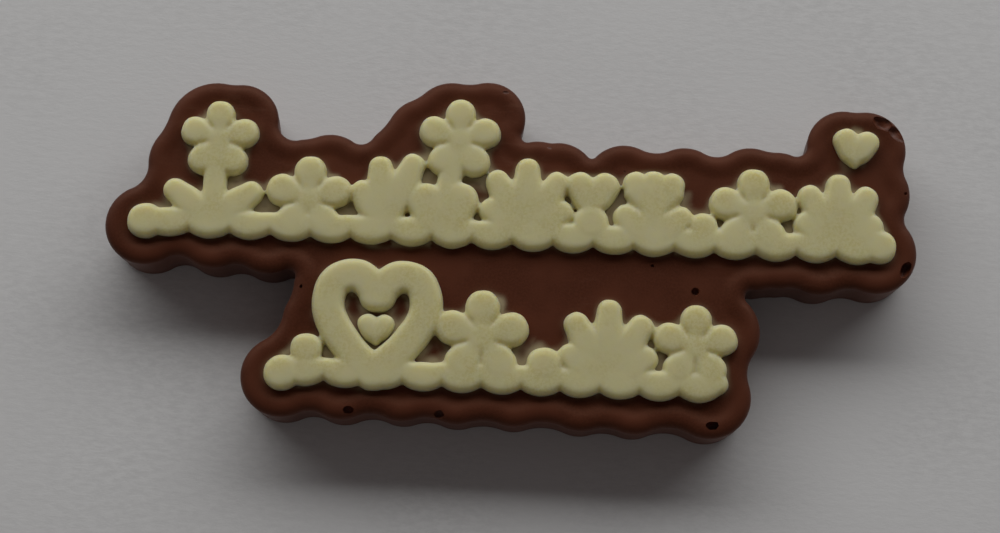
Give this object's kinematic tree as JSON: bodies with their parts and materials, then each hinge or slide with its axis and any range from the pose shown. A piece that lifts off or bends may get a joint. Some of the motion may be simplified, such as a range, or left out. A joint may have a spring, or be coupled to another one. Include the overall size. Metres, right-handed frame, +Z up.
{
  "type": "moulded chocolate plaque",
  "caption": "Flat milk-chocolate plaque with a scalloped outline, a soft raised rim and domed white-chocolate garlands in two rows.",
  "frame": {"origin": "under the middle of the plaque's box, on its flat underside", "axes": "+X along the two rows to the right, +Y towards the upper edge, +Z up out of the decorated face"},
  "size_m": [0.0954, 0.0418, 0.0096],
  "materials": {
    "milk_chocolate": "satin",
    "white_chocolate": "satin"
  },
  "bodies": {
    "root": {"plaque_base": "milk_chocolate", "garland_upper": "white_chocolate", "garland_lower": "white_chocolate", "heart_inner": "white_chocolate", "heart_accent": "white_chocolate"}
  },
  "joints": []
}
